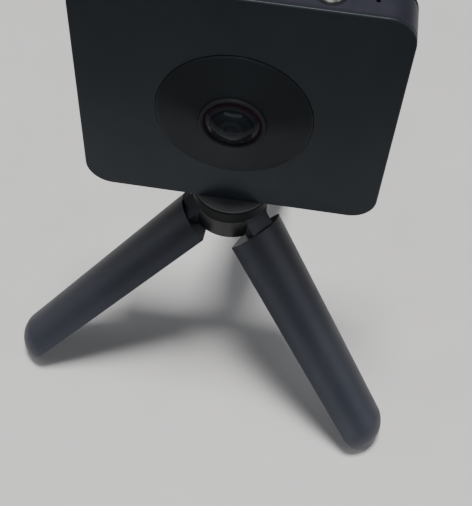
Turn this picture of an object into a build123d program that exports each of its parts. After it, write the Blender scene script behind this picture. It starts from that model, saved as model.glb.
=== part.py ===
"""A palm-size two-lens panoramic camera standing on a folding three-leg table tripod.

Units are millimetres and +Z is up. The floor is z = 0, the camera's front looks along -Y,
and the origin is the centre of the stance's bounding box on the floor.
"""
from build123d import *
import os
from math import cos, radians, sin, sqrt

os.makedirs("parts", exist_ok=True)

# ---------------------------------------------------------------- driving dimensions
# The tripod's axis, measured from the centre of the stance's bounding box.
HUB_X = 3.66
HUB_Y = -10.42

# Camera slab: a band with a cover on each side.
BODY_W = 78.0
BODY_H = 66.9
BODY_BASE = 66.8
BODY_CORNER = 7.0
HALF_T = 6.0
COVER_T = 0.9
COVER_EASE = 0.4
SEAL_T = 0.3
BAND_HALF = HALF_T - COVER_T - SEAL_T
WALL = 1.8
BODY_MID = BODY_BASE + BODY_H / 2
BODY_TOP = BODY_BASE + BODY_H

# Lens stack, a little below the slab's middle, as radii and as distances out from the mid-plane.
LENS_MID = BODY_MID - 1.95
DISC_R = 19.4
DISC_GAP = 0.15
DISC_RIM = HALF_T + 0.3
DISC_CROWN = HALF_T + 2.2
DISC_SKIN = 0.9
DISC_EASE = 0.2
BEZEL_R = 8.2
BEZEL_TOP = HALF_T + 2.9
GLASS_R = 7.0
GLASS_EDGE = HALF_T + 2.3
GLASS_APEX = HALF_T + 5.0
BARREL_R = 7.6
BARREL_BORE = 6.0
BARREL_BACK = 1.9
BARREL_TOP = HALF_T + 1.8
LEDGE_BACK = 3.8
LEDGE_R = 14.5

# Buttons: the shutter on the top, two more on the right-hand side.
SHUTTER_X = 18.95
SHUTTER_R = 2.85
SHUTTER_RING_R = 3.6
BUTTON_FIT = 0.1
SHUTTER_PROUD = 0.5
SIDE_PROUD = 0.4
SIDE_BUTTONS = {"power_button": 16.0, "mode_button": 2.5}
SIDE_BUTTON_L = 8.8
SIDE_BUTTON_W = 2.8
STATUS_Z = 9.2
STATUS_R = 0.7
MIC_X = 29.2
TOP_ROW_Y = -0.5

# Ports.
USB_X = 24.0
USB_Y = -1.95
USB_W = 8.2
USB_D = 2.8
CARD_Z = -14.0
CARD_Y = 1.2
SPEAKER_X = -23.0

# Tripod hub.
HUB_R = 10.7
HUB_SPLIT = 62.6
NECK_R = 9.0
NECK_TOP = 63.6
RING_BASE = HUB_SPLIT + 0.1
RING_TOP = 66.2
PAD_R = 10.5
AXLE_R = 2.45
AXLE_BORE = 2.5
STUD_R = 3.1
STUD_TOP = 72.3
SOCKET_BORE = 3.175
SOCKET_R = 3.75
FLANGE_R = 6.5
FLANGE_BASE = 64.8
RING_WEB = 64.0
CLIP_POCKET_R = 4.0
CLIP_POCKET_TOP = 57.5
CLIP_BASE = 56.7
CLIP_T = 0.5
CLIP_R = 3.6
CLIP_GROOVE_R = 1.8
AXLE_END = 56.3
THREAD_ROOT = 2.6
THREAD_PITCH = 1.27

# Legs: each is a third of a tapering round, hinged on a pin near the hub's rim.
LEG_AZIMUTHS = {"left": -158.0, "right": -38.0, "back": 82.0}
LEG_OPEN = 47.1
PIVOT_R = 8.0
PIVOT_Z = 60.2
LEG_TOP = 5.1
LEG_END = 81.6
LEG_R_TOP = 10.9
LEG_R_TIP = 9.3
LEG_TIP_L = 8.2
LEG_TIP = LEG_TIP_L - LEG_END
LEG_GAP = 0.15
LEG_WALL = 1.6
LEG_COVER_T = 1.5
LEG_SOLID_TIP = 13.0
FOOT_H = 2.2
TONGUE_W = 7.2
TONGUE_R = 2.0
WASHER_T = 0.4
WASHER_R = 2.0
SLOT_W = TONGUE_W + 2 * WASHER_T + 0.1
SLOT_FLOOR = 5.2
SLOT_ROOF = HUB_SPLIT + 0.1
HUB_RELIEF = LEG_TOP - 0.15
HUB_BASE = PIVOT_Z - HUB_RELIEF
PIN_R = 1.0
PIN_BORE = 1.05
PIN_HALF = 7.5
LEG_SCREW_AT = (-22.0, -58.0)
LEG_SEAT_OUT = 1.7
LEG_PAD_OUT = 3.4

# Small screws, and the boards and plates that they hold.
SCREW_R = 0.7
POST_HEAD_R = 1.25
POST_HEAD_T = 0.7
POST_SPOTS = ((8.6, 15.0), (-8.6, 15.0), (8.6, -15.0), (-8.6, -15.0))
CHASSIS_HALF = 0.4
CHASSIS_SCREWS = ((9.5, 29.3), (-9.5, 29.3), (9.5, -29.3), (-9.5, -29.3))
BOARD_HALF = 0.5
BOARD_RIGHT = 34.0


def save(builder, name):
    """Label a finished piece and write it as its own file."""
    builder.part.label = name
    export_step(builder.part, f"parts/{name}.step")


# ---------------------------------------------------------------- placing planes
SIDES = {"front": -1, "rear": 1}


def face_plane(side, out):
    """A plane parallel to the covers, looking outwards, out mm from the mid-plane."""
    way = SIDES[side]
    return Plane(origin=(HUB_X, HUB_Y + way * out, BODY_MID), x_dir=(-way, 0, 0), z_dir=(0, way, 0))


def lens_plane(side, out):
    """The same kind of plane, centred on the lens axis."""
    way = SIDES[side]
    return Plane(origin=(HUB_X, HUB_Y + way * out, LENS_MID), x_dir=(-way, 0, 0), z_dir=(0, way, 0))


def lens_section(side):
    """A plane through the lens axis: x is the radius and y the distance out."""
    return Plane(origin=(HUB_X, HUB_Y, LENS_MID), x_dir=(-SIDES[side], 0, 0), z_dir=(0, 0, -1))


def lens_axis(side):
    return Axis((HUB_X, HUB_Y, LENS_MID), (0, SIDES[side], 0))


def hub_plane(height):
    return Plane.XY.offset(height).move(Location((HUB_X, HUB_Y, 0)))


def hub_section():
    """A plane through the hub's axis: x is the radius and y the height."""
    return Plane(origin=(HUB_X, HUB_Y, 0), x_dir=(1, 0, 0), z_dir=(0, -1, 0))


def hub_axis():
    return Axis((HUB_X, HUB_Y, 0), (0, 0, 1))


def right_plane(out, along_y=0.0, up=0.0):
    """A plane parallel to the right-hand side, looking along +X; its x is +Y, its y is +Z."""
    origin = (HUB_X + out, HUB_Y + along_y, BODY_MID + up)
    return Plane(origin=origin, x_dir=(0, 1, 0), z_dir=(1, 0, 0))


def body_top_plane(height, x):
    """A level plane over the row of the shutter and the microphone, x mm along it."""
    return Plane(origin=(HUB_X + x, HUB_Y + TOP_ROW_Y, height))


def leg_plane(azimuth):
    """A leg's frame on its hinge pin: x is away from its spine, z is up along the leg."""
    around = radians(azimuth)
    opened = radians(LEG_OPEN)
    pivot = (HUB_X + PIVOT_R * cos(around), HUB_Y + PIVOT_R * sin(around), PIVOT_Z)
    out = (cos(opened) * cos(around), cos(opened) * sin(around), sin(opened))
    up = (-sin(opened) * cos(around), -sin(opened) * sin(around), cos(opened))
    return Plane(origin=pivot, x_dir=out, z_dir=up)


def leg_spine(azimuth):
    """The frame moved from the pin to the leg's spine, where the three legs meet when folded."""
    leg = leg_plane(azimuth)
    return Plane(origin=leg.from_local_coords((-PIVOT_R, 0, 0)), x_dir=leg.x_dir, z_dir=leg.z_dir)


def side_section(spine, angle):
    """A plane through the spine, turned by angle about it: x is the radius, y runs up the leg."""
    turned = spine.x_dir.rotate(Axis((0, 0, 0), spine.z_dir), angle)
    return Plane(origin=spine.origin, x_dir=turned, z_dir=turned.cross(spine.z_dir))


def pin_plane(azimuth, along):
    """A plane square to a leg's hinge pin, along mm from the leg's middle; its y is straight up."""
    around = radians(azimuth)
    tangent = (-sin(around), cos(around), 0)
    radial = (-cos(around), -sin(around), 0)
    x = HUB_X + PIVOT_R * cos(around) + along * tangent[0]
    y = HUB_Y + PIVOT_R * sin(around) + along * tangent[1]
    return Plane(origin=(x, y, PIVOT_Z), x_dir=radial, z_dir=tangent)


# ---------------------------------------------------------------- camera casing
def outline(inset, mode=Mode.ADD):
    """Draw the slab's rounded outline, inset mm inside its edge, in the current sketch."""
    RectangleRounded(BODY_W - 2 * inset, BODY_H - 2 * inset, BODY_CORNER - inset, mode=mode)


def middle_band():
    """The casing's middle: a hollow band with its openings, and the bosses behind the chassis."""
    with BuildPart() as band:
        with BuildSketch(face_plane("front", -BAND_HALF)):
            outline(0)
        extrude(amount=2 * BAND_HALF)
        ends = band.edges().group_by(Axis.Y)
        chamfer(ends[0] + ends[-1], 0.3)
        with BuildSketch(face_plane("front", -BAND_HALF)):
            outline(WALL)
        extrude(amount=2 * BAND_HALF, mode=Mode.SUBTRACT)
        with BuildSketch(face_plane("rear", 0.4)):
            with Locations(*CHASSIS_SCREWS):
                Rectangle(5, 5.4)
        extrude(amount=3.0)
        with BuildSketch(face_plane("rear", 0.4)):
            with Locations(*CHASSIS_SCREWS):
                Circle(SCREW_R)
        extrude(amount=2.6, mode=Mode.SUBTRACT)
        # shutter and microphone, through the top wall
        with BuildSketch(body_top_plane(BODY_TOP, SHUTTER_X)):
            Circle(SHUTTER_RING_R)
        extrude(amount=-1.2, mode=Mode.SUBTRACT)
        with BuildSketch(body_top_plane(BODY_TOP, SHUTTER_X)):
            Circle(SHUTTER_R + BUTTON_FIT)
        extrude(amount=-2 * WALL, mode=Mode.SUBTRACT)
        with BuildSketch(body_top_plane(BODY_TOP, MIC_X)):
            Circle(0.5)
        extrude(amount=-2 * WALL, mode=Mode.SUBTRACT)
        # side buttons, status light and card slot, through the right-hand wall
        with BuildSketch(right_plane(BODY_W / 2)):
            with Locations(*[(0, up) for up in SIDE_BUTTONS.values()]):
                SlotOverall(SIDE_BUTTON_L + 2 * BUTTON_FIT, SIDE_BUTTON_W + 2 * BUTTON_FIT, rotation=90)
            with Locations((0, STATUS_Z)):
                Circle(STATUS_R)
            with Locations((CARD_Y, CARD_Z)):
                RectangleRounded(1.5, 12.4, 0.3)
        extrude(amount=-2 * WALL, mode=Mode.SUBTRACT)
        # data port, speaker holes and tripod socket, through the bottom wall
        with BuildSketch(hub_plane(BODY_BASE)):
            with Locations((USB_X, USB_Y)):
                RectangleRounded(USB_W, USB_D, 1.2)
            with Locations(*[(SPEAKER_X + step, 0) for step in (-3, 0, 3)]):
                Circle(0.5)
            Circle(SOCKET_R)
        extrude(amount=2 * WALL, mode=Mode.SUBTRACT)
    return band


def cover(side):
    """A cover plate with a round opening, a ledge behind it for the lens disc, and a lip."""
    with BuildPart() as plate:
        with BuildSketch(face_plane(side, HALF_T - COVER_T)):
            outline(0)
        extrude(amount=COVER_T)
        fillet(plate.faces().sort_by(Axis.Y)[0 if side == "front" else -1].edges(), COVER_EASE)
        with BuildSketch(lens_plane(side, LEDGE_BACK)):
            Circle(DISC_R + 2.2)
        extrude(amount=HALF_T - COVER_T - LEDGE_BACK)
        with BuildSketch(face_plane(side, LEDGE_BACK)):
            outline(WALL + 0.1)
            outline(WALL + 1.1, mode=Mode.SUBTRACT)
        extrude(amount=HALF_T - COVER_T - LEDGE_BACK)
        with BuildSketch(lens_plane(side, HALF_T)):
            Circle(DISC_R + DISC_GAP)
        extrude(amount=-COVER_T, mode=Mode.SUBTRACT)
        with BuildSketch(lens_plane(side, HALF_T)):
            Circle(LEDGE_R)
        extrude(amount=LEDGE_BACK - HALF_T, mode=Mode.SUBTRACT)
        with BuildSketch(lens_plane(side, HALF_T - COVER_T)):
            with Locations(*POST_SPOTS):
                Circle(POST_HEAD_R + 0.05)
        extrude(amount=-POST_HEAD_T, mode=Mode.SUBTRACT)
        with BuildSketch(lens_plane(side, HALF_T - COVER_T)):
            with Locations(*POST_SPOTS):
                Circle(SCREW_R + 0.05)
        extrude(amount=-2 * COVER_T, mode=Mode.SUBTRACT)
    return plate


def seal(side):
    """The gasket in the groove between a cover and the band."""
    with BuildPart() as gasket:
        with BuildSketch(face_plane(side, BAND_HALF)):
            outline(0.6)
            outline(WALL, mode=Mode.SUBTRACT)
        extrude(amount=SEAL_T)
    return gasket


# ---------------------------------------------------------------- lenses
def lens_disc(side):
    """The round plate about a lens: its edge is almost flush, and a shallow cone rises to the bezel."""
    seat = HALF_T - COVER_T
    crown_r = BEZEL_R + 0.05
    with BuildPart() as disc:
        with BuildSketch(lens_section(side)):
            with BuildLine():
                Polyline(
                    (LEDGE_R + 0.6, seat),
                    (DISC_R, seat),
                    (DISC_R, DISC_RIM - DISC_EASE),
                    (DISC_R - DISC_EASE, DISC_RIM),
                    (crown_r, DISC_CROWN),
                    (crown_r, DISC_CROWN - DISC_SKIN),
                    (LEDGE_R + 0.6, seat + 0.6),
                    close=True,
                )
            make_face()
        revolve(axis=lens_axis(side))
    return disc


def lens_bezel(side):
    """The ring that holds the glass, with a bevel towards it."""
    with BuildPart() as bezel:
        with BuildSketch(lens_section(side)):
            with BuildLine():
                Polyline(
                    (BARREL_BORE + 0.3, BARREL_TOP),
                    (BEZEL_R, BARREL_TOP - 0.8),
                    (BEZEL_R, BEZEL_TOP - 0.25),
                    (BEZEL_R - 0.25, BEZEL_TOP),
                    (GLASS_R + 0.35, BEZEL_TOP),
                    (GLASS_R + 0.02, GLASS_EDGE),
                    (GLASS_R + 0.02, BARREL_TOP),
                    close=True,
                )
            make_face()
        revolve(axis=lens_axis(side))
        with BuildSketch(lens_plane(side, 0)):
            Circle(BARREL_R + 0.02)
        extrude(amount=BARREL_TOP, mode=Mode.SUBTRACT)
    return bezel


def lens_dome(side):
    """The bulging outer glass, a meniscus with its rim inside the bezel."""
    rise = GLASS_APEX - GLASS_EDGE
    ball = (GLASS_R ** 2 + rise ** 2) / (2 * rise)
    inner_r = GLASS_R - 1.6
    inner_apex = GLASS_APEX - 1.4
    inner_ball = (inner_r ** 2 + (inner_apex - BARREL_TOP) ** 2) / (2 * (inner_apex - BARREL_TOP))
    with BuildPart() as dome:
        with BuildSketch(lens_section(side)):
            with BuildLine():
                Line((0, inner_apex), (0, GLASS_APEX))
                RadiusArc((0, GLASS_APEX), (GLASS_R, GLASS_EDGE), ball)
                Line((GLASS_R, GLASS_EDGE), (GLASS_R, BARREL_TOP))
                Line((GLASS_R, BARREL_TOP), (inner_r, BARREL_TOP))
                RadiusArc((inner_r, BARREL_TOP), (0, inner_apex), -inner_ball)
            make_face()
        revolve(axis=lens_axis(side))
    return dome


def lens_barrel(side):
    """The tube that carries the inner elements, with a foot flange on the sensor board."""
    with BuildPart() as barrel:
        with BuildSketch(lens_section(side)):
            with BuildLine():
                Polyline(
                    (4.4, BARREL_BACK),
                    (8.4, BARREL_BACK),
                    (8.4, BARREL_BACK + 0.8),
                    (BARREL_R, BARREL_BACK + 0.8),
                    (BARREL_R, BARREL_TOP),
                    (BARREL_BORE, BARREL_TOP),
                    (BARREL_BORE, 4.2),
                    (4.4, 4.2),
                    close=True,
                )
            make_face()
        revolve(axis=lens_axis(side))
    return barrel


def lens_elements(side):
    """The inner glasses, each a disc with a shallow crown, stacked in the barrel."""
    with BuildPart() as glasses:
        for radius, back, thick in ((BARREL_BORE, 6.4, 0.9), (BARREL_BORE, 4.6, 1.0), (4.4, 2.8, 0.9)):
            with BuildSketch(lens_section(side)):
                with BuildLine():
                    Polyline((radius, back + thick), (radius, back), (0, back), (0, back + thick + 0.4))
                    RadiusArc((0, back + thick + 0.4), (radius, back + thick), radius ** 2 / 0.8 + 0.2)
                make_face()
            revolve(axis=lens_axis(side))
    return glasses


def sensor_board(side):
    """A small square circuit board with the image sensor on it."""
    with BuildPart() as board:
        with BuildSketch(lens_plane(side, CHASSIS_HALF)):
            RectangleRounded(17.0, 17.0, 1.0)
        extrude(amount=0.8)
        with BuildSketch(lens_plane(side, CHASSIS_HALF + 0.8)):
            RectangleRounded(8.0, 8.0, 0.3)
        extrude(amount=0.7)
    return board


# ---------------------------------------------------------------- inside the casing
def chassis():
    """The metal plate between the two lenses, with posts for the cover screws."""
    with BuildPart() as plate:
        with BuildSketch(face_plane("front", -CHASSIS_HALF)):
            with Locations((0, 2.7)):
                Rectangle(22, 57)
            with Locations((-9.5, -28.5), (9.5, -28.5)):
                Rectangle(6, 6.2)
        extrude(amount=2 * CHASSIS_HALF)
        for side in SIDES:
            with BuildSketch(lens_plane(side, CHASSIS_HALF)):
                with Locations(*POST_SPOTS):
                    Circle(1.4)
            extrude(amount=LEDGE_BACK - CHASSIS_HALF)
            with BuildSketch(lens_plane(side, LEDGE_BACK)):
                with Locations(*POST_SPOTS):
                    Circle(SCREW_R)
            extrude(amount=-2.2, mode=Mode.SUBTRACT)
        with BuildSketch(face_plane("rear", -CHASSIS_HALF)):
            with Locations(*CHASSIS_SCREWS):
                Circle(SCREW_R + 0.05)
        extrude(amount=2 * CHASSIS_HALF, mode=Mode.SUBTRACT)
    return plate


def pan_screws(groups):
    """Small pan-head screws; each group is a plane, its spots, the head and the shank's length."""
    with BuildPart() as screws:
        for plane, spots, head_t, shank in groups:
            with BuildSketch(plane):
                with Locations(*spots):
                    Circle(POST_HEAD_R)
            extrude(amount=-head_t)
            with BuildSketch(plane):
                with Locations(*spots):
                    Rectangle(1.5, 0.35)
            extrude(amount=-0.35, mode=Mode.SUBTRACT)
            with BuildSketch(plane.offset(-head_t)):
                with Locations(*spots):
                    Circle(SCREW_R)
            extrude(amount=-shank)
    return screws


def block(plane, width, height, depth, corner, spots=((0, 0),)):
    """A plain rounded block standing on a plane, or several."""
    with BuildPart() as solid:
        with BuildSketch(plane):
            with Locations(*spots):
                RectangleRounded(width, height, corner)
        extrude(amount=depth)
    return solid


def battery():
    """A flat lithium cell with a narrow folded end at its top."""
    with BuildPart() as cell:
        with BuildSketch(face_plane("front", -3.6)):
            with Locations((-24.0, 3.0)):
                RectangleRounded(22.0, 50.0, 1.2)
        extrude(amount=7.2)
        fillet(cell.edges().filter_by(Axis.Z), 1.0)
        with BuildSketch(face_plane("front", -1.5)):
            with Locations((-24.0, 29.2)):
                Rectangle(20.0, 2.4)
        extrude(amount=3.0)
    return cell


def board_chips():
    """The processor, memory, power and radio chips on both faces of the main board."""
    front = ((24.0, 16.0, 11.0, 11.0, 1.4), (20.5, 1.5, 8.0, 6.0, 1.0), (29.0, 2.0, 5.0, 5.0, 0.9))
    rear = ((24.0, 18.0, 9.0, 9.0, 1.2), (28.0, 4.0, 6.0, 6.0, 1.6), (19.0, 5.0, 4.0, 5.0, 0.8))
    with BuildPart() as chips:
        for side, mirror_x, layout in (("front", 1, front), ("rear", -1, rear)):
            for x, up, width, height, thick in layout:
                with BuildSketch(face_plane(side, BOARD_HALF)):
                    with Locations((mirror_x * x, up)):
                        Rectangle(width, height)
                extrude(amount=thick)
    return chips


def usb_port():
    """The data port's metal shell with its tongue."""
    with BuildPart() as port:
        with BuildSketch(hub_plane(BODY_BASE + 0.05)):
            with Locations((USB_X, USB_Y)):
                RectangleRounded(USB_W - 0.1, USB_D - 0.1, 1.1)
        extrude(amount=6.5)
        with BuildSketch(hub_plane(BODY_BASE + 0.05)):
            with Locations((USB_X, USB_Y)):
                RectangleRounded(USB_W - 0.8, USB_D - 0.8, 0.8)
                Rectangle(USB_W - 2.6, 0.7, mode=Mode.SUBTRACT)
        extrude(amount=5.4, mode=Mode.SUBTRACT)
    return port


def card_slot():
    """The memory card's holder, open at the right-hand side."""
    with BuildPart() as holder:
        with BuildSketch(right_plane(BODY_W / 2 - 0.05)):
            with Locations((CARD_Y, CARD_Z)):
                RectangleRounded(1.4, 12.3, 0.25)
        extrude(amount=-15.0)
        with BuildSketch(right_plane(BODY_W / 2 - 0.05)):
            with Locations((CARD_Y, CARD_Z)):
                Rectangle(0.8, 11.2)
        extrude(amount=-14.2, mode=Mode.SUBTRACT)
    return holder


def tripod_socket():
    """The brass threaded insert in the casing's underside."""
    with BuildPart() as socket:
        with BuildSketch(hub_plane(BODY_BASE + 0.02)):
            Circle(SOCKET_R)
        extrude(amount=7.0)
        with BuildSketch(hub_plane(BODY_BASE)):
            Circle(SOCKET_BORE)
        extrude(amount=6.3, mode=Mode.SUBTRACT)
    return socket


# ---------------------------------------------------------------- buttons
def shutter_button():
    """The round metal cap with a shallow dish and a hidden flange that keeps it in."""
    top = BODY_TOP + SHUTTER_PROUD
    with BuildPart() as cap:
        with BuildSketch(body_top_plane(BODY_TOP - WALL - 0.9, SHUTTER_X)):
            Circle(SHUTTER_R + 0.4)
        extrude(amount=0.8)
        with BuildSketch(body_top_plane(BODY_TOP - WALL - 0.5, SHUTTER_X)):
            Circle(SHUTTER_R)
        extrude(amount=WALL + 0.5 + SHUTTER_PROUD)
        chamfer(cap.edges().group_by(Axis.Z)[-1], 0.25)
        with BuildSketch(body_top_plane(top, SHUTTER_X)):
            Circle(SHUTTER_R - 0.7)
        extrude(amount=-0.15, taper=30, mode=Mode.SUBTRACT)
    return cap


def shutter_ring():
    """The dark ring let into the top about the shutter button."""
    with BuildPart() as ring:
        with BuildSketch(body_top_plane(BODY_TOP - 1.2, SHUTTER_X)):
            Circle(SHUTTER_RING_R)
            Circle(SHUTTER_R + BUTTON_FIT, mode=Mode.SUBTRACT)
        extrude(amount=1.35)
        chamfer(ring.edges().group_by(Axis.Z)[-1].sort_by(SortBy.RADIUS)[-1], 0.12)
    return ring


def side_button(up):
    """A pill-shaped button in the right-hand side, with its retaining flange inside the wall."""
    inner = BODY_W / 2 - WALL
    with BuildPart() as key:
        with BuildSketch(right_plane(inner - 0.9, 0, up)):
            SlotOverall(SIDE_BUTTON_L + 1.4, SIDE_BUTTON_W + 1.4, rotation=90)
        extrude(amount=0.8)
        with BuildSketch(right_plane(inner - 0.5, 0, up)):
            SlotOverall(SIDE_BUTTON_L, SIDE_BUTTON_W, rotation=90)
        extrude(amount=WALL + 0.5 + SIDE_PROUD)
        chamfer(key.edges().group_by(Axis.X)[-1], 0.2)
    return key


def side_switches():
    """The two tactile switches behind the side buttons."""
    with BuildPart() as switches:
        with BuildSketch(right_plane(BOARD_RIGHT + 0.05)):
            with Locations(*[(0, up) for up in SIDE_BUTTONS.values()]):
                Rectangle(2.8, 4.0)
        extrude(amount=1.3)
        with BuildSketch(right_plane(BOARD_RIGHT + 1.35)):
            with Locations(*[(0, up) for up in SIDE_BUTTONS.values()]):
                Circle(0.7)
        extrude(amount=0.35)
    return switches


def shutter_switch():
    """The tactile switch under the shutter button."""
    with BuildPart() as switch:
        with BuildSketch(body_top_plane(BODY_TOP - WALL - 2.9, SHUTTER_X)):
            Rectangle(4.0, 4.0)
        extrude(amount=1.1)
        with BuildSketch(body_top_plane(BODY_TOP - WALL - 1.8, SHUTTER_X)):
            Circle(0.9)
        extrude(amount=0.4)
    return switch


def status_light():
    with BuildPart() as pipe:
        with BuildSketch(right_plane(BODY_W / 2 + 0.05, 0, STATUS_Z)):
            Circle(STATUS_R)
        extrude(amount=-3.2)
    return pipe


def microphone():
    with BuildPart() as capsule:
        with BuildSketch(body_top_plane(BODY_TOP - WALL, MIC_X)):
            RectangleRounded(3.5, 2.6, 0.3)
        extrude(amount=-1.0)
    return capsule


# ---------------------------------------------------------------- tripod head
def hub():
    """The hub that carries the three hinges. Its lower edge is an arc about the hinge pins."""
    edge_z = PIVOT_Z - sqrt(HUB_RELIEF ** 2 - (HUB_R - PIVOT_R) ** 2)
    with BuildPart() as spider:
        with BuildSketch(hub_section()):
            with BuildLine():
                Polyline(
                    (PIVOT_R, HUB_BASE),
                    (CLIP_POCKET_R, HUB_BASE),
                    (CLIP_POCKET_R, CLIP_POCKET_TOP),
                    (AXLE_BORE, CLIP_POCKET_TOP),
                    (AXLE_BORE, NECK_TOP),
                    (NECK_R, NECK_TOP),
                    (NECK_R, HUB_SPLIT),
                    (HUB_R - 0.2, HUB_SPLIT),
                    (HUB_R, HUB_SPLIT - 0.2),
                    (HUB_R, edge_z),
                )
                RadiusArc((HUB_R, edge_z), (PIVOT_R, HUB_BASE), HUB_RELIEF)
            make_face()
        revolve(axis=hub_axis())
        for azimuth in LEG_AZIMUTHS.values():
            with BuildSketch(pin_plane(azimuth, -SLOT_W / 2)):
                with Locations((PIVOT_R - SLOT_FLOOR, SLOT_ROOF - PIVOT_Z)):
                    Rectangle(HUB_R, HUB_R, align=(Align.MAX, Align.MAX))
            extrude(amount=SLOT_W, mode=Mode.SUBTRACT)
            with BuildSketch(pin_plane(azimuth, -PIN_HALF)):
                Circle(PIN_R)
            extrude(amount=2 * PIN_HALF, mode=Mode.SUBTRACT)
    return spider


def hinge_pins():
    """The three pins, their ends dressed flush with the hub's round."""
    with BuildPart() as pins:
        for azimuth in LEG_AZIMUTHS.values():
            with BuildSketch(pin_plane(azimuth, -PIN_HALF)):
                Circle(PIN_R)
            extrude(amount=2 * PIN_HALF)
        with BuildSketch(hub_plane(HUB_BASE)):
            Circle(HUB_R)
        extrude(amount=HUB_SPLIT - HUB_BASE, mode=Mode.INTERSECT)
    return pins


def hinge_washers():
    """The six friction washers, one on each side of each leg's tongue."""
    with BuildPart() as washers:
        for azimuth in LEG_AZIMUTHS.values():
            for start in (-SLOT_W / 2, SLOT_W / 2 - WASHER_T):
                with BuildSketch(pin_plane(azimuth, start)):
                    Circle(WASHER_R)
                    Circle(PIN_R, mode=Mode.SUBTRACT)
                extrude(amount=WASHER_T)
    return washers


def round_stack(profile):
    """A solid turned about the hub's axis from (radius, height) points."""
    with BuildPart() as solid:
        with BuildSketch(hub_section()):
            with BuildLine():
                Polyline(*profile, close=True)
            make_face()
        revolve(axis=hub_axis())
    return solid


def hub_cap():
    """The plug that hides the screw's end."""
    chamfered = CLIP_POCKET_R - 0.2
    return round_stack([(0, HUB_BASE), (chamfered, HUB_BASE), (CLIP_POCKET_R, HUB_BASE + 0.2),
                        (CLIP_POCKET_R, HUB_BASE + 0.4), (0, HUB_BASE + 0.4)])


def swivel_washer():
    low = NECK_TOP + 0.01
    return round_stack([(AXLE_BORE + 0.1, low), (NECK_R - 0.5, low), (NECK_R - 0.5, RING_WEB - 0.02),
                        (AXLE_BORE + 0.1, RING_WEB - 0.02)])


def clamp_ring():
    """The thumb ring that turns the camera screw, hollow over the hub's neck."""
    skirt = NECK_R + 0.15
    return round_stack([
        (skirt, RING_BASE),
        (HUB_R - 0.2, RING_BASE),
        (HUB_R, RING_BASE + 0.2),
        (HUB_R, RING_TOP - 0.25),
        (HUB_R - 0.25, RING_TOP),
        (FLANGE_R, RING_TOP),
        (FLANGE_R, FLANGE_BASE),
        (AXLE_R, FLANGE_BASE),
        (AXLE_R, RING_WEB),
        (skirt, RING_WEB),
    ])


def friction_pad():
    return round_stack([
        (STUD_R + 0.2, RING_TOP),
        (PAD_R - 0.2, RING_TOP),
        (PAD_R, RING_TOP + 0.2),
        (PAD_R, BODY_BASE - 0.15),
        (PAD_R - 0.15, BODY_BASE),
        (STUD_R + 0.2, BODY_BASE),
    ])


def camera_screw():
    """The stud, its flange and the axle below. The thread is a stack of plain grooves."""
    profile = [
        (0, AXLE_END),
        (AXLE_R - 0.2, AXLE_END),
        (AXLE_R, AXLE_END + 0.2),
        (AXLE_R, CLIP_BASE),
        (CLIP_GROOVE_R, CLIP_BASE),
        (CLIP_GROOVE_R, CLIP_BASE + CLIP_T),
        (AXLE_R, CLIP_BASE + CLIP_T),
        (AXLE_R, FLANGE_BASE),
        (FLANGE_R, FLANGE_BASE),
        (FLANGE_R, RING_TOP),
        (THREAD_ROOT, RING_TOP),
    ]
    height = RING_TOP
    while height + THREAD_PITCH < STUD_TOP:
        profile.append((STUD_R, height + 0.4 * THREAD_PITCH))
        profile.append((STUD_R, height + 0.6 * THREAD_PITCH))
        profile.append((THREAD_ROOT, height + THREAD_PITCH))
        height += THREAD_PITCH
    profile += [(THREAD_ROOT - 0.3, STUD_TOP), (0, STUD_TOP)]
    return round_stack(profile)


def screw_clip():
    """The open spring ring that holds the camera screw in the hub, and its washer."""
    with BuildPart() as clip:
        with BuildSketch(hub_plane(CLIP_BASE)):
            Circle(CLIP_R)
            Circle(CLIP_GROOVE_R, mode=Mode.SUBTRACT)
            with Locations((CLIP_R, 0)):
                Rectangle(2 * CLIP_R, 2.2, mode=Mode.SUBTRACT)
        extrude(amount=CLIP_T)
        with BuildSketch(hub_plane(CLIP_BASE + CLIP_T)):
            Circle(CLIP_R)
            Circle(AXLE_BORE, mode=Mode.SUBTRACT)
        extrude(amount=CLIP_POCKET_TOP - CLIP_BASE - CLIP_T - 0.02)
    return clip


# ---------------------------------------------------------------- legs
def trim_flats(azimuth, inset):
    """Cut the current part back by inset from the two flat sides, where folded legs meet."""
    spine = leg_spine(azimuth)
    for turn in (-60, 60):
        across = spine.y_dir.rotate(Axis((0, 0, 0), spine.z_dir), turn)
        inward = across if turn < 0 else -across
        split(bisect_by=Plane(origin=spine.origin + inward * inset, z_dir=inward), keep=Keep.TOP)


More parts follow.
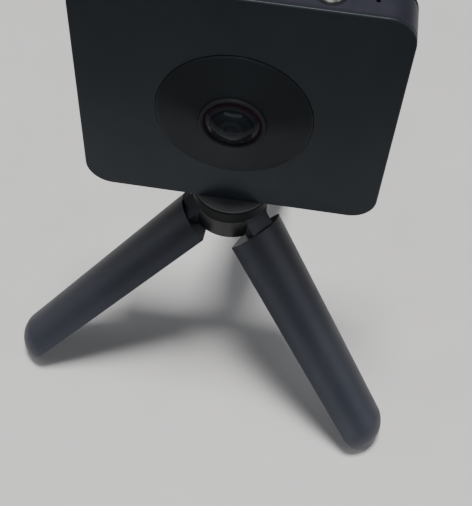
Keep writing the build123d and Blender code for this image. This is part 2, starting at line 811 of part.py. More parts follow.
def leg_shell(azimuth):
    """The leg's outer shell: a third of a round, hollow behind, with its tongue and solid tip."""
    leg = leg_plane(azimuth)
    spine = leg_spine(azimuth)
    start = side_section(spine, -60)
    with BuildPart() as shell:
        with BuildSketch(start):
            with BuildLine():
                Polyline((0, -LEG_END), (0, -LEG_TOP), (LEG_R_TOP, -LEG_TOP), (LEG_R_TIP, LEG_TIP))
                RadiusArc((LEG_R_TIP, LEG_TIP), (0, -LEG_END), LEG_R_TIP)
            make_face()
        revolve(axis=Axis(spine.origin, spine.z_dir), revolution_arc=120)
        trim_flats(azimuth, LEG_GAP)
        fillet(shell.edges().filter_by(lambda e: e.length > LEG_END - LEG_TOP - LEG_TIP_L - 2), 0.5)
        with BuildSketch(start):
            with BuildLine():
                Polyline(*cavity_outline(), close=True)
            make_face()
        revolve(axis=Axis(spine.origin, spine.z_dir), revolution_arc=120, mode=Mode.SUBTRACT)
        for along in LEG_SCREW_AT:
            with BuildSketch(spine_cross(spine, along, LEG_PAD_OUT)):
                Circle(1.7)
                Circle(SCREW_R, mode=Mode.SUBTRACT)
            extrude(amount=leg_radius(along) - LEG_WALL + 0.3 - LEG_PAD_OUT)
        tongue_edge = leg.from_local_coords((0, TONGUE_W / 2, 0))
        tongue_side = Plane(origin=tongue_edge, x_dir=leg.x_dir, z_dir=-leg.y_dir)
        with BuildSketch(tongue_side):
            Circle(TONGUE_R)
            Rectangle(2 * TONGUE_R, LEG_TOP + 0.8, align=(Align.CENTER, Align.MAX))
            Circle(PIN_BORE, mode=Mode.SUBTRACT)
        extrude(amount=TONGUE_W)
        split(bisect_by=Plane.XY.offset(FOOT_H), keep=Keep.TOP)
    return shell


def leg_radius(along):
    """The outer radius of a leg's straight taper, along mm up from the hinge pin."""
    taper = (LEG_R_TOP - LEG_R_TIP) / (LEG_END - LEG_TOP - LEG_TIP_L)
    return LEG_R_TOP + taper * (along + LEG_TOP)


def cavity_outline():
    """The hollow of a leg as (radius, height) points from its spine."""
    high = -LEG_TOP - LEG_WALL
    low = LEG_SOLID_TIP - LEG_END
    return [(0, low), (0, high), (leg_radius(high) - LEG_WALL, high), (leg_radius(low) - LEG_WALL, low)]


def spine_cross(spine, along, out):
    """A plane square to the outward direction, out mm from the spine and along mm up the leg."""
    return Plane(origin=spine.from_local_coords((out, 0, along)), x_dir=spine.y_dir, z_dir=spine.x_dir)


def leg_cover(azimuth):
    """The V-shaped cover that closes a leg's two flat sides, with seats for its screws."""
    spine = leg_spine(azimuth)
    inner = (LEG_GAP + LEG_COVER_T) / sin(radians(60))
    reach = 2 * LEG_R_TOP
    with BuildPart() as lid:
        with BuildSketch(side_section(spine, -60)):
            with BuildLine():
                Polyline(*cavity_outline(), close=True)
            make_face()
        revolve(axis=Axis(spine.origin, spine.z_dir), revolution_arc=120)
        with BuildSketch(spine.offset(-LEG_END)):
            with BuildLine():
                Polyline((inner, 0), (inner + reach * cos(radians(60)), reach * sin(radians(60))),
                         (inner + reach * cos(radians(60)), -reach * sin(radians(60))), close=True)
            make_face()
        extrude(amount=LEG_END, mode=Mode.SUBTRACT)
        for along in LEG_SCREW_AT:
            with BuildSketch(spine_cross(spine, along, 0.5)):
                Circle(2.0)
            extrude(amount=LEG_PAD_OUT - 0.5)
            with BuildSketch(spine_cross(spine, along, 0)):
                Circle(SCREW_R + 0.05)
            extrude(amount=LEG_PAD_OUT + 1, mode=Mode.SUBTRACT)
            with BuildSketch(spine_cross(spine, along, 0)):
                Circle(POST_HEAD_R + 0.1)
            extrude(amount=LEG_SEAT_OUT, mode=Mode.SUBTRACT)
        trim_flats(azimuth, LEG_GAP)
    return lid


def leg_screws(azimuth):
    """The two screws that hold a leg's cover, with slotted heads in the spine."""
    spine = leg_spine(azimuth)
    planes = [spine_cross(spine, along, LEG_SEAT_OUT - POST_HEAD_T) for along in LEG_SCREW_AT]
    with BuildPart() as screws:
        for plane in planes:
            with BuildSketch(plane):
                Circle(POST_HEAD_R)
                Rectangle(1.6, 0.35, mode=Mode.SUBTRACT)
            extrude(amount=0.3)
            with BuildSketch(plane.offset(0.3)):
                Circle(POST_HEAD_R)
            extrude(amount=POST_HEAD_T - 0.3)
            with BuildSketch(plane.offset(POST_HEAD_T)):
                Circle(SCREW_R)
            extrude(amount=4.2)
    return screws


def foot_pad(azimuth):
    """The rubber foot: the leg's outermost tip, flat where it stands."""
    spine = leg_spine(azimuth)
    with BuildPart() as pad:
        with BuildSketch(side_section(spine, -60)):
            with BuildLine():
                Polyline((0, -LEG_END), (0, -LEG_TOP), (LEG_R_TOP, -LEG_TOP), (LEG_R_TIP, LEG_TIP))
                RadiusArc((LEG_R_TIP, LEG_TIP), (0, -LEG_END), LEG_R_TIP)
            make_face()
        revolve(axis=Axis(spine.origin, spine.z_dir), revolution_arc=120)
        trim_flats(azimuth, LEG_GAP)
        split(bisect_by=Plane.XY.offset(FOOT_H), keep=Keep.BOTTOM)
        split(bisect_by=Plane.XY, keep=Keep.TOP)
    return pad


# ---------------------------------------------------------------- write every piece
save(middle_band(), "middle_band")
for each_side in SIDES:
    save(cover(each_side), f"{each_side}_cover")
    save(seal(each_side), f"{each_side}_cover_seal")
    save(lens_disc(each_side), f"{each_side}_lens_disc")
    save(lens_bezel(each_side), f"{each_side}_lens_bezel")
    save(lens_dome(each_side), f"{each_side}_lens_dome")
    save(lens_barrel(each_side), f"{each_side}_lens_barrel")
    save(lens_elements(each_side), f"{each_side}_lens_elements")
    save(sensor_board(each_side), f"{each_side}_sensor_board")

save(chassis(), "lens_chassis")
save(battery(), "battery")
save(block(face_plane("front", -BOARD_HALF), 19.0, 57.0, 2 * BOARD_HALF, 0.5, ((24.5, -1.3),)), "main_board")
save(board_chips(), "board_chips")
save(block(hub_plane(BODY_BASE + WALL), 13.0, 4.0, 5.0, 1.0, ((SPEAKER_X, 0),)), "speaker")
save(block(face_plane("front", -3.0), 17.0, 0.4, 6.0, 0.1, ((-22.5, 31.35),)), "wifi_antenna")
save(microphone(), "microphone")
save(usb_port(), "usb_port")
save(card_slot(), "card_slot")
save(status_light(), "status_light")
save(tripod_socket(), "tripod_socket")
save(shutter_switch(), "shutter_switch")
save(side_switches(), "side_switches")
save(pan_screws([
    (lens_plane("front", HALF_T - COVER_T), POST_SPOTS, POST_HEAD_T, 2.2),
    (lens_plane("rear", HALF_T - COVER_T), POST_SPOTS, POST_HEAD_T, 2.2),
]), "cover_screws")
save(pan_screws([
    (face_plane("front", CHASSIS_HALF + POST_HEAD_T), CHASSIS_SCREWS, POST_HEAD_T, 3.0),
]), "chassis_screws")

save(shutter_button(), "shutter_button")
save(shutter_ring(), "shutter_ring")
for button, button_up in SIDE_BUTTONS.items():
    save(side_button(button_up), button)

save(hub(), "hub")
save(hinge_pins(), "hinge_pins")
save(hinge_washers(), "hinge_washers")
save(hub_cap(), "hub_cap")
save(swivel_washer(), "swivel_washer")
save(clamp_ring(), "clamp_ring")
save(friction_pad(), "friction_pad")
save(camera_screw(), "camera_screw")
save(screw_clip(), "screw_clip")

for leg_name, leg_azimuth in LEG_AZIMUTHS.items():
    save(leg_shell(leg_azimuth), f"{leg_name}_leg_shell")
    save(leg_cover(leg_azimuth), f"{leg_name}_leg_cover")
    save(leg_screws(leg_azimuth), f"{leg_name}_leg_screws")
    save(foot_pad(leg_azimuth), f"{leg_name}_foot_pad")
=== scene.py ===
"""Looks of the panoramic camera on its folding table tripod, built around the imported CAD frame."""
import bpy
import bmesh
from math import cos, pi, radians, sin, sqrt
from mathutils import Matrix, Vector


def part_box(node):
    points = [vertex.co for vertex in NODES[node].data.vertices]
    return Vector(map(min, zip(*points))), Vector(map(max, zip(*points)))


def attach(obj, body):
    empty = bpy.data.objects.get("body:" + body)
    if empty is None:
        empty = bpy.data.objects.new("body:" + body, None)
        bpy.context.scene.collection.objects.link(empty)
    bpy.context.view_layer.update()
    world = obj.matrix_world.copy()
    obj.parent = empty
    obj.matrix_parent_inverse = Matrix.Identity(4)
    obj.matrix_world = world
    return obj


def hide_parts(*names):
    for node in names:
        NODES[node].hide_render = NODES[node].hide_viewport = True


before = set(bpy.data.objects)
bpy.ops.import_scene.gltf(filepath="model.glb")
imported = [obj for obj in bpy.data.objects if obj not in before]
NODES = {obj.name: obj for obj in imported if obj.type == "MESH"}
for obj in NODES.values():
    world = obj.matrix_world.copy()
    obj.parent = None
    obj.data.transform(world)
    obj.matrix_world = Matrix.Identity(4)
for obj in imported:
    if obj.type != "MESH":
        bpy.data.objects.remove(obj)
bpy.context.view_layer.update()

MM = 0.001


def middle(node):
    """The centre of a CAD node's box."""
    low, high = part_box(node)
    return (Vector(low) + Vector(high)) / 2


HUB = middle("hub")
LENS = {side: middle(f"{side}_lens_disc") for side in ("front", "rear")}

# ---------------------------------------------------------------- view and light
CAMERA_FROM_HUB = Vector((16.84, -166.83, 0)) * MM
CAMERA_HEIGHT = 263.2 * MM
CAMERA_TURN = (36.175, -2.516, 8.345)
CAMERA_LENS = 66.8
CAMERA_NEAR = 0.01
SKY_COLOUR = (0.94, 0.95, 1.0)
SKY_STRENGTH = 0.09
WARM_LAMP = (1.0, 0.985, 0.97)
COOL_LAMP = (0.92, 0.96, 1.0)
FLOOR_SIZE = 6.0
FLOOR_THICK = 0.01
CARD_LOW = (-0.7, -0.8)
CARD_HIGH = (0.7, -0.105)
CARD_HEIGHT = 0.002
CARD_THICK = 0.001


def aim_camera():
    """The camera that looks down on the slab from in front and above."""
    data = bpy.data.cameras.new("camera")
    data.lens = CAMERA_LENS
    data.clip_start = CAMERA_NEAR
    eye = bpy.data.objects.new("camera", data)
    eye.location = Vector((HUB.x, HUB.y, CAMERA_HEIGHT)) + CAMERA_FROM_HUB
    eye.rotation_euler = [radians(angle) for angle in CAMERA_TURN]
    bpy.context.scene.collection.objects.link(eye)
    bpy.context.scene.camera = eye


def area_light(name, place, size, power, colour):
    """A soft rectangular lamp that points at the object."""
    data = bpy.data.lights.new(name, "AREA")
    data.shape = "RECTANGLE"
    data.size = size[0]
    data.size_y = size[1]
    data.energy = power
    data.color = colour
    lamp = bpy.data.objects.new(name, data)
    lamp.location = place
    lamp.rotation_euler = (HUB - Vector(place)).to_track_quat("-Z", "Y").to_euler()
    bpy.context.scene.collection.objects.link(lamp)


def light_studio():
    """A soft lamp almost straight overhead, weak low fills, and a dim pale sky."""
    world = bpy.data.worlds.new("sky")
    world.use_nodes = True
    sky = world.node_tree.nodes["Background"]
    sky.inputs["Color"].default_value = (*SKY_COLOUR, 1)
    sky.inputs["Strength"].default_value = SKY_STRENGTH
    bpy.context.scene.world = world
    area_light("overhead", place=(0.0, 0.03, 1.5), size=(0.42, 0.40), power=24.6, colour=WARM_LAMP)
    area_light("front_fill", place=(-0.05, -1.3, 0.22), size=(1.1, 0.22), power=3.4, colour=COOL_LAMP)
    area_light("left_fill", place=(-0.8, -0.1, 0.5), size=(0.5, 0.5), power=1.3, colour=COOL_LAMP)
    area_light("right_fill", place=(0.8, -0.2, 0.35), size=(0.5, 0.5), power=1.4, colour=COOL_LAMP)


def sheet_mesh(name, low, high, height, thick):
    """A thin slab over a rectangle of the floor plan."""
    ends = [(x, y) for y in (low[1], high[1]) for x in (low[0], high[0])]
    corners = [(x, y, z) for z in (height - thick, height) for x, y in ends]
    faces = [(0, 2, 3, 1), (4, 5, 7, 6), (0, 1, 5, 4), (2, 6, 7, 3), (0, 4, 6, 2), (1, 3, 7, 5)]
    mesh = bpy.data.meshes.new(name)
    mesh.from_pydata(corners, [], faces)
    slab = bpy.data.objects.new(name, mesh)
    bpy.context.scene.collection.objects.link(slab)
    return slab


def lay_floor():
    """A plain pale table, and a black card in front that only shows in reflections."""
    half = FLOOR_SIZE / 2
    floor = sheet_mesh("floor", (-half, -half), (half, half), 0, FLOOR_THICK)
    pale = speckle("pale_table", (0.70, 0.69, 0.68), (0.735, 0.725, 0.715), rough=0.55, grain=900)
    floor.data.materials.append(pale)
    card = sheet_mesh("flag", CARD_LOW, CARD_HIGH, CARD_HEIGHT, CARD_THICK)
    black = speckle("black_card", (0.004, 0.004, 0.004), (0.008, 0.008, 0.008), rough=0.9, grain=900)
    card.data.materials.append(black)
    card.visible_camera = False
    card.visible_diffuse = False
    card.visible_shadow = False
    card.visible_transmission = False


# ---------------------------------------------------------------- turned pieces
ROUND_STEPS = 288
ON_AXIS = 1e-9
SHARP_ANGLE = 40
TURNING_EASE = 0.12 * MM
LONGEST_SIDE = 0.9 * MM
DISC_LEDGE = 4.3 * MM
DISC_LEDGE_T = 0.6 * MM
DISC_SKIN = 0.9 * MM
DISC_PROUD = 0.3 * MM
DISC_RIM_STEP = 0.3 * MM
BEZEL_EASE = 0.1 * MM
DOME_RISE = 2.7 * MM
DOME_WALL = 1.6 * MM
DOME_CROWN_T = 1.4 * MM


def eased(points, ease, steps=4):
    """A closed outline of (radius, along) points with each corner rounded off by about ease."""
    outline = []
    count = len(points)
    for index in range(count):
        before, corner, after = (Vector(points[(index + turn) % count]) for turn in (-1, 0, 1))
        reach = min(ease, (before - corner).length * 0.45, (after - corner).length * 0.45)
        start = corner + (before - corner).normalized() * reach
        end = corner + (after - corner).normalized() * reach
        if corner.x < ON_AXIS:
            outline.append(corner)
            continue
        for step in range(steps + 1):
            t = step / steps
            outline.append((1 - t) ** 2 * start + 2 * t * (1 - t) * corner + t * t * end)
    return outline


def subdivided(outline, longest):
    """The same closed outline with no side longer than longest."""
    finer = []
    for here, there in zip(outline, outline[1:] + outline[:1]):
        pieces = max(1, int((there - here).length / longest) + 1)
        finer += [here.lerp(there, step / pieces) for step in range(pieces)]
    return finer


def lathe(name, outline, place):
    """Turn a closed (radius, along) outline; place maps (radius, angle, along) to a point."""
    verts = []
    rows = []
    for point in outline:
        if point.x < ON_AXIS:
            rows.append([len(verts)] * ROUND_STEPS)
            verts.append(place(0, 0, point.y))
            continue
        rows.append(list(range(len(verts), len(verts) + ROUND_STEPS)))
        verts += [place(point.x, 2 * pi * step / ROUND_STEPS, point.y) for step in range(ROUND_STEPS)]
    faces = []
    for one, two in zip(rows, rows[1:] + rows[:1]):
        for step in range(ROUND_STEPS):
            after = (step + 1) % ROUND_STEPS
            ring = [one[step], one[after], two[after], two[step]]
            corners = list(dict.fromkeys(ring))
            if len(corners) > 2:
                faces.append(corners)
    mesh = bpy.data.meshes.new(name)
    mesh.from_pydata(verts, [], faces)
    mesh.validate()
    tidy = bmesh.new()
    tidy.from_mesh(mesh)
    bmesh.ops.recalc_face_normals(tidy, faces=tidy.faces)
    tidy.to_mesh(mesh)
    tidy.free()
    mesh.shade_smooth()
    mesh.set_sharp_from_angle(angle=radians(SHARP_ANGLE))
    piece = bpy.data.objects.new(name, mesh)
    bpy.context.scene.collection.objects.link(piece)
    return piece


def lens_place(side):
    """Puts (radius, angle, distance out from the slab's mid-plane) on a lens's axis."""
    axis = LENS[side]
    way = -1 if side == "front" else 1

    def place(radius, angle, out):
        return (axis.x + radius * cos(angle), HUB.y + way * out, axis.z + radius * sin(angle))

    return place


def out_from_middle(node):
    """How far a lens piece reaches out from the slab's mid-plane: (nearest, furthest)."""
    low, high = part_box(node)
    return sorted((abs(low.y - HUB.y), abs(high.y - HUB.y)))


def half_width(node):
    """Half of a CAD node's width, which is the radius of a round one."""
    low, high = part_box(node)
    return (high.x - low.x) / 2


def lens_disc(side):
    """The round plate: a thin rim, then a shallow cone up to the bezel."""
    node = f"{side}_lens_disc"
    seat, crown = out_from_middle(node)
    rim = out_from_middle(f"{side}_cover")[1] + DISC_PROUD
    outer = half_width(node)
    inner = half_width(f"{side}_lens_bezel") + 0.05 * MM
    slope = (crown - rim) / (outer - inner)
    points = [(outer - DISC_LEDGE, seat), (outer, seat), (outer, rim - 0.1 * MM)]
    points += [(outer - DISC_RIM_STEP, rim + DISC_RIM_STEP * slope), (inner, crown)]
    points += [(inner, crown - DISC_SKIN), (outer - DISC_LEDGE, seat + DISC_LEDGE_T)]
    outline = subdivided(eased(points, TURNING_EASE), LONGEST_SIDE)
    return lathe(f"{side}_disc_turned", outline, lens_place(side))


def lens_bezel(side):
    """The ring round the glass, with a rolled lip and a fine step inside."""
    node = f"{side}_lens_bezel"
    back, top = out_from_middle(node)
    foot = back + 0.8 * MM
    edge = top - 0.6 * MM
    outer = half_width(node)
    glass = half_width(f"{side}_lens_dome") + 0.02 * MM
    points = [(glass, foot), (outer - 0.6 * MM, foot), (outer, back), (outer, top - 0.2 * MM)]
    points += [(outer - 0.25 * MM, top), (glass + 0.45 * MM, top), (glass + 0.40 * MM, top - 0.18 * MM)]
    points += [(glass + 0.2 * MM, top - 0.22 * MM), (glass + 0.16 * MM, edge + 0.08 * MM), (glass, edge)]
    return lathe(f"{side}_bezel_turned", eased(points, BEZEL_EASE), lens_place(side))


def dome_curve(radius, edge, apex, steps):
    """Points of a round cap from its rim to its apex."""
    rise = apex - edge
    ball = (radius ** 2 + rise ** 2) / (2 * rise)
    curve = []
    for step in range(steps):
        away = radius * cos(pi / 2 * step / steps)
        curve.append(Vector((away, apex - ball + sqrt(ball ** 2 - away ** 2))))
    return curve + [Vector((0, apex))]


def lens_dome(side):
    """The bulging outer glass: a polished cap outside, a flatter one inside."""
    node = f"{side}_lens_dome"
    back, apex = out_from_middle(node)
    radius = half_width(node)
    outside = dome_curve(radius, apex - DOME_RISE, apex, steps=40)
    inside = dome_curve(radius - DOME_WALL, back, apex - DOME_CROWN_T, steps=32)
    outline = [Vector((radius, back))] + outside + inside[::-1]
    return lathe(f"{side}_dome_polished", outline, lens_place(side))


def build_lenses(discs, bezels):
    """Stand the turned pieces in for the plain CAD ones."""
    for side in LENS:
        pieces = ((lens_disc, discs[side]), (lens_bezel, bezels[side]), (lens_dome, dome_glass(side)))
        for maker, material in pieces:
            piece = maker(side)
            piece.data.materials.append(material)
            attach(piece, "camera")
            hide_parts(f"{side}_{maker.__name__}")


# ---------------------------------------------------------------- material building blocks
def new_material(name):
    material = bpy.data.materials.new(name)
    material.use_nodes = True
    tree = material.node_tree
    return material, tree, tree.nodes["Principled BSDF"]


def noise(tree, scale, detail=2.0, rough=0.5):
    """Cloudy noise fixed to the piece; scale is in lumps per metre."""
    where = tree.nodes.new("ShaderNodeTexCoord")
    texture = tree.nodes.new("ShaderNodeTexNoise")
    texture.inputs["Scale"].default_value = scale
    texture.inputs["Detail"].default_value = detail
    texture.inputs["Roughness"].default_value = rough
    tree.links.new(where.outputs["Object"], texture.inputs["Vector"])
    return texture.outputs["Fac"]


def spread(tree, source, low, high, start=0.3, end=0.7):
    """Map the stretch of a value from start to end onto low to high."""
    ramp = tree.nodes.new("ShaderNodeMapRange")
    ramp.inputs["From Min"].default_value = start
    ramp.inputs["From Max"].default_value = end
    ramp.inputs["To Min"].default_value = low
    ramp.inputs["To Max"].default_value = high
    tree.links.new(source, ramp.inputs["Value"])
    return ramp.outputs["Result"]


def blend(tree, factor, first, second):
    """Mix two colours, each a triple or another node's output."""
    mix = tree.nodes.new("ShaderNodeMix")
    mix.data_type = "RGBA"
    for socket, colour in (("A", first), ("B", second)):
        if isinstance(colour, tuple):
            mix.inputs[socket].default_value = (*colour, 1)
        else:
            tree.links.new(colour, mix.inputs[socket])
    tree.links.new(factor, mix.inputs["Factor"])
    return mix.outputs["Result"]


def relief(tree, shader, *layers):
    """Bump a shader by (height, depth in metres) layers, one on another."""
    before = None
    for height, depth in layers:
        node = tree.nodes.new("ShaderNodeBump")
        node.inputs["Strength"].default_value = 0.6
        node.inputs["Distance"].default_value = depth
        tree.links.new(height, node.inputs["Height"])
        if before:
            tree.links.new(before, node.inputs["Normal"])
        before = node.outputs["Normal"]
    tree.links.new(before, shader.inputs["Normal"])


def radius_from(tree, centre, axis):
    """The distance of a point from a line through centre along one axis."""
    where = tree.nodes.new("ShaderNodeTexCoord")
    shift = tree.nodes.new("ShaderNodeVectorMath")
    shift.operation = "SUBTRACT"
    shift.inputs[1].default_value = centre
    flat = tree.nodes.new("ShaderNodeVectorMath")
    flat.operation = "MULTIPLY"
    flat.inputs[1].default_value = [0 if letter == axis else 1 for letter in "XYZ"]
    size = tree.nodes.new("ShaderNodeVectorMath")
    size.operation = "LENGTH"
    tree.links.new(where.outputs["Object"], shift.inputs[0])
    tree.links.new(shift.outputs["Vector"], flat.inputs[0])
    tree.links.new(flat.outputs["Vector"], size.inputs[0])
    return size.outputs["Value"]


def rings(tree, centre, axis, per_metre):
    """Uneven rings: noise that changes only with the distance from an axis; turning marks on turned faces,
    and painted element reflections in the dome glass.
    """
    texture = tree.nodes.new("ShaderNodeTexNoise")
    texture.noise_dimensions = "1D"
    texture.inputs["Scale"].default_value = per_metre
    texture.inputs["Detail"].default_value = 3
    tree.links.new(radius_from(tree, centre, axis), texture.inputs["W"])
    return texture.outputs["Fac"]


# ---------------------------------------------------------------- materials
NEUTRAL = (1.0, 1.0, 1.0)
COOL = (0.80, 0.92, 1.0)
VIOLET = (0.90, 0.92, 1.0)
CLOUDS_PER_METRE = 45
SCUFFS_PER_METRE = 210
WIPES_PER_METRE = 120
QUARTER_TURN = 0.25


def speckle(name, dark, light, rough, grain=2600, depth=0.02, metallic=0.0, gloss=0.5, gloss_tint=NEUTRAL):
    """A satin surface mottled in colour and gloss; grain is in lumps per metre, its depth in mm."""
    material, tree, shader = new_material(name)
    cloud = spread(tree, noise(tree, CLOUDS_PER_METRE, 4), 0, 1)
    scuffs = noise(tree, SCUFFS_PER_METRE, 6, 0.65)
    tree.links.new(blend(tree, cloud, dark, light), shader.inputs["Base Color"])
    tree.links.new(spread(tree, scuffs, rough - 0.03, rough + 0.04), shader.inputs["Roughness"])
    relief(tree, shader, (noise(tree, grain, 3, 0.6), depth * MM), (scuffs, 0.3 * depth * MM))
    shader.inputs["Metallic"].default_value = metallic
    shader.inputs["Specular IOR Level"].default_value = gloss
    shader.inputs["Specular Tint"].default_value = (*gloss_tint, 1)
    return material


def paler_outwards(material, near, far, start, end):
    """Painted shade and light: scale a material's colour from near to far with the distance from the hub's
    axis, so a piece is darker near the hub and paler further out.
    """
    tree = material.node_tree
    colour = tree.nodes["Principled BSDF"].inputs["Base Color"]
    scaled = tree.nodes.new("ShaderNodeVectorMath")
    scaled.operation = "SCALE"
    tree.links.new(colour.links[0].from_socket, scaled.inputs[0])
    amount = spread(tree, radius_from(tree, HUB, "Z"), near, far, start, end)
    tree.links.new(amount, scaled.inputs["Scale"])
    tree.links.new(scaled.outputs["Vector"], colour)


def turned(name, centre, axis, dark, light, rough, pitch, depth, metallic=0.0, anisotropic=0.7, gloss=0.5,
           gloss_tint=NEUTRAL):
    """A lathe-turned face: uneven rings about an axis, pitch mm apart and depth mm deep, and a streak."""
    material, tree, shader = new_material(name)
    marks = rings(tree, centre, axis, 1 / (pitch * MM))
    tree.links.new(blend(tree, spread(tree, marks, 0, 1), dark, light), shader.inputs["Base Color"])
    gloss_map = spread(tree, noise(tree, 90, 2), rough - 0.015, rough + 0.02)
    tree.links.new(gloss_map, shader.inputs["Roughness"])
    relief(tree, shader, (marks, depth * MM))
    shader.inputs["Metallic"].default_value = metallic
    shader.inputs["Anisotropic"].default_value = anisotropic
    shader.inputs["Anisotropic Rotation"].default_value = QUARTER_TURN
    shader.inputs["Specular IOR Level"].default_value = gloss
    shader.inputs["Specular Tint"].default_value = (*gloss_tint, 1)
    around = tree.nodes.new("ShaderNodeTangent")
    around.direction_type = "RADIAL"
    around.axis = axis
    tree.links.new(around.outputs["Tangent"], shader.inputs["Tangent"])
    return material


def dome_glass(side):
    """Near-black glass: painted dim rings that stand in for the elements under it and their reflections, a
    painted rose coating glint at the rim, and its own weak reflection.
    """
    material, tree, shader = new_material(f"{side}_dome_glass")
    # Painted reflection: lighter rings stand in for the inner elements and their reflections seen through
    # the glass.
    painted_ring_glints = spread(tree, rings(tree, LENS[side], "Y", 1 / (1.5 * MM)), 0, 1, 0.35, 0.65)
    inner = blend(tree, painted_ring_glints, (0.006, 0.0075, 0.0095), (0.017, 0.0195, 0.022))
    # Painted reflection: a rose coating glint towards the rim.
    rim = spread(tree, radius_from(tree, LENS[side], "Y"), 0, 0.8, 5.8 * MM, 7.0 * MM)
    tree.links.new(blend(tree, rim, inner, (0.030, 0.010, 0.018)), shader.inputs["Base Color"])
    wipes = spread(tree, noise(tree, WIPES_PER_METRE, 2), 0.04, 0.07, 0.2, 0.8)
    tree.links.new(wipes, shader.inputs["Roughness"])
    shader.inputs["IOR"].default_value = 1.13
    return material


def coated_glass():
    """The inner elements: dark, with a painted rose coating reflection where the surface turns away."""
    material, tree, shader = new_material("coated_glass")
    # Painted reflection: the rose coating glint is blended into the base colour by how far the surface turns
    # away.
    facing = tree.nodes.new("ShaderNodeLayerWeight")
    facing.inputs["Blend"].default_value = 0.35
    colour = blend(tree, facing.outputs["Facing"], (0.009, 0.013, 0.016), (0.070, 0.014, 0.034))
    tree.links.new(colour, shader.inputs["Base Color"])
    tree.links.new(spread(tree, noise(tree, 700, 4), 0.34, 0.40), shader.inputs["Roughness"])
    shader.inputs["Specular IOR Level"].default_value = 0.25
    return material


def circuit_board():
    """Dark solder mask with a grid of copper tracks and pads under it."""
    material, tree, shader = new_material("circuit_board")
    where = tree.nodes.new("ShaderNodeTexCoord")
    tracks = tree.nodes.new("ShaderNodeTexBrick")
    tracks.inputs["Scale"].default_value = 380
    tracks.inputs["Mortar Size"].default_value = 0.06
    tracks.inputs["Color1"].default_value = (0.006, 0.035, 0.018, 1)
    tracks.inputs["Color2"].default_value = (0.008, 0.045, 0.022, 1)
    tracks.inputs["Mortar"].default_value = (0.09, 0.08, 0.03, 1)
    turn = tree.nodes.new("ShaderNodeMapping")
    turn.inputs["Rotation"].default_value = (radians(90), 0, 0)
    tree.links.new(where.outputs["Object"], turn.inputs["Vector"])
    tree.links.new(turn.outputs["Vector"], tracks.inputs["Vector"])
    tree.links.new(tracks.outputs["Color"], shader.inputs["Base Color"])
    tree.links.new(spread(tree, noise(tree, 400, 3), 0.28, 0.40), shader.inputs["Roughness"])
    relief(tree, shader, (tracks.outputs["Fac"], 0.02 * MM))
    return material


# ---------------------------------------------------------------- dressing the CAD nodes
def paint(material, *names):
    """Give CAD nodes one material."""
    for name in names:
        mesh = NODES[name].data
        mesh.materials.clear()
        mesh.materials.append(material)


def named(*endings):
    """The CAD nodes whose names end in any of these."""
    return [name for name in NODES if name.endswith(endings)]


def dress_casing():
    """The slab's outside."""
    cover = speckle("graphite_cover", (0.0140, 0.0164, 0.0200), (0.0172, 0.0200, 0.0241), rough=0.42,
                    gloss=0.28, gloss_tint=COOL)
    paint(cover, "front_cover", "rear_cover")
    band = speckle("anodised_band", (0.016, 0.0165, 0.028), (0.022, 0.0225, 0.036), rough=0.46, metallic=0.2)
    paint(band, "middle_band", "power_button", "mode_button")
    gasket = speckle("gasket_rubber", (0.006, 0.006, 0.006), (0.010, 0.010, 0.010), rough=0.8)
    paint(gasket, *named("_seal"))
    cap = turned("silver_cap", middle("shutter_button"), "Z", (0.20, 0.204, 0.208), (0.28, 0.284, 0.288),
                 rough=0.36, pitch=0.12, depth=0.004, metallic=0.85)
    paint(cap, "shutter_button")
    collar = speckle("black_collar", (0.010, 0.010, 0.012), (0.015, 0.015, 0.017), rough=0.4, metallic=0.3)
    paint(collar, "shutter_ring", "microphone")
    light_pipe = speckle("light_pipe", (0.55, 0.58, 0.56), (0.66, 0.69, 0.66), rough=0.25)
    paint(light_pipe, "status_light")


def dress_lenses():
    """Both lens stacks, with the turned pieces in place of the plain ones."""
    discs = {}
    bezels = {}
    for side, centre in LENS.items():
        discs[side] = turned(f"{side}_turned_disc", centre, "Y", (0.0125, 0.0142, 0.0157),
                             (0.0165, 0.0185, 0.0203), rough=0.30, pitch=0.16, depth=0.0012, gloss=0.09,
                             gloss_tint=COOL)
        bezels[side] = turned(f"{side}_bezel_ring", centre, "Y", (0.013, 0.014, 0.015),
                              (0.018, 0.019, 0.020), rough=0.48, pitch=0.10, depth=0.001,
                              anisotropic=0.3, gloss=0.10)
        barrel = turned(f"{side}_barrel_black", centre, "Y", (0.004, 0.004, 0.004), (0.009, 0.009, 0.009),
                        rough=0.5, pitch=0.5, depth=0.05, anisotropic=0.0)
        paint(barrel, f"{side}_lens_barrel")
    paint(coated_glass(), *named("_lens_elements"))
    build_lenses(discs, bezels)


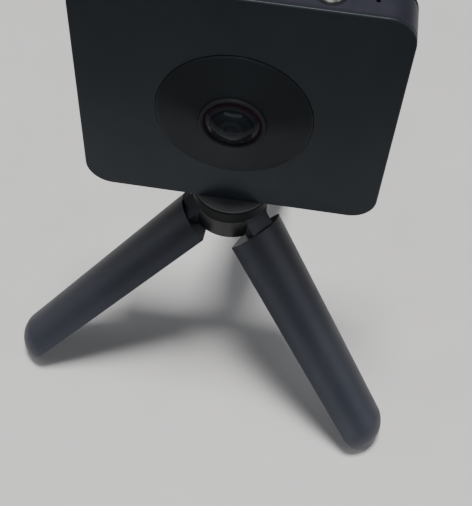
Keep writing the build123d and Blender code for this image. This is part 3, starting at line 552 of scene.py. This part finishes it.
def dress_insides():
    """What the slab holds."""
    paint(circuit_board(), "main_board", *named("_sensor_board"))
    epoxy = speckle("chip_epoxy", (0.014, 0.014, 0.015), (0.024, 0.024, 0.026), rough=0.45)
    paint(epoxy, "board_chips", "speaker", "shutter_switch", "side_switches")
    paint(speckle("battery_wrap", (0.42, 0.40, 0.34), (0.52, 0.50, 0.44), rough=0.34), "battery")
    plate = speckle("magnesium_plate", (0.30, 0.31, 0.32), (0.40, 0.41, 0.42), rough=0.38, metallic=0.9)
    paint(plate, "lens_chassis")
    shell = speckle("plated_shell", (0.48, 0.48, 0.47), (0.60, 0.60, 0.58), rough=0.28, metallic=1.0)
    paint(shell, "usb_port", "card_slot")
    paint(speckle("antenna_ceramic", (0.50, 0.44, 0.30), (0.58, 0.52, 0.38), rough=0.4), "wifi_antenna")
    brass = speckle("socket_brass", (0.42, 0.30, 0.13), (0.55, 0.40, 0.18), rough=0.30, metallic=1.0)
    paint(brass, "tripod_socket")


def dress_tripod():
    """The legs, the hub and what joins them to the slab."""
    legs = speckle("tripod_moulding", (0.0132, 0.0150, 0.0212), (0.0182, 0.0200, 0.0270), rough=0.47,
                   depth=0.03, gloss=0.46, gloss_tint=VIOLET)
    # Painted shade and light: the legs are darkened near the hub, where the slab shades them, and made paler
    # towards the feet, where more light falls.
    paler_outwards(legs, near=0.5, far=1.65, start=14 * MM, end=62 * MM)
    paint(legs, *named("leg_shell", "leg_cover"))
    hub = speckle("hub_moulding", (0.0088, 0.0099, 0.0112), (0.0127, 0.0138, 0.0154), rough=0.42, gloss=0.4)
    paint(hub, "hub", "hub_cap", "hinge_pins")
    ring = speckle("ring_moulding", (0.0048, 0.0058, 0.0064), (0.0072, 0.0083, 0.0091), rough=0.52,
                   gloss=0.14)
    paint(ring, "clamp_ring")
    pad = speckle("pad_rubber", (0.042, 0.044, 0.046), (0.054, 0.056, 0.058), rough=0.80, grain=3600)
    paint(pad, "friction_pad")
    foot = speckle("foot_rubber", (0.010, 0.010, 0.012), (0.015, 0.015, 0.017), rough=0.80, grain=3600)
    paint(foot, *named("foot_pad"))
    nylon = speckle("washer_nylon", (0.018, 0.018, 0.020), (0.026, 0.026, 0.028), rough=0.5)
    paint(nylon, "hinge_washers", "swivel_washer")
    steel = speckle("screw_steel", (0.42, 0.42, 0.43), (0.55, 0.55, 0.56), rough=0.30, metallic=1.0)
    paint(steel, "camera_screw", "screw_clip", *named("_screws"))


# ---------------------------------------------------------------- scene
aim_camera()
light_studio()
lay_floor()
dress_casing()
dress_lenses()
dress_insides()
dress_tripod()
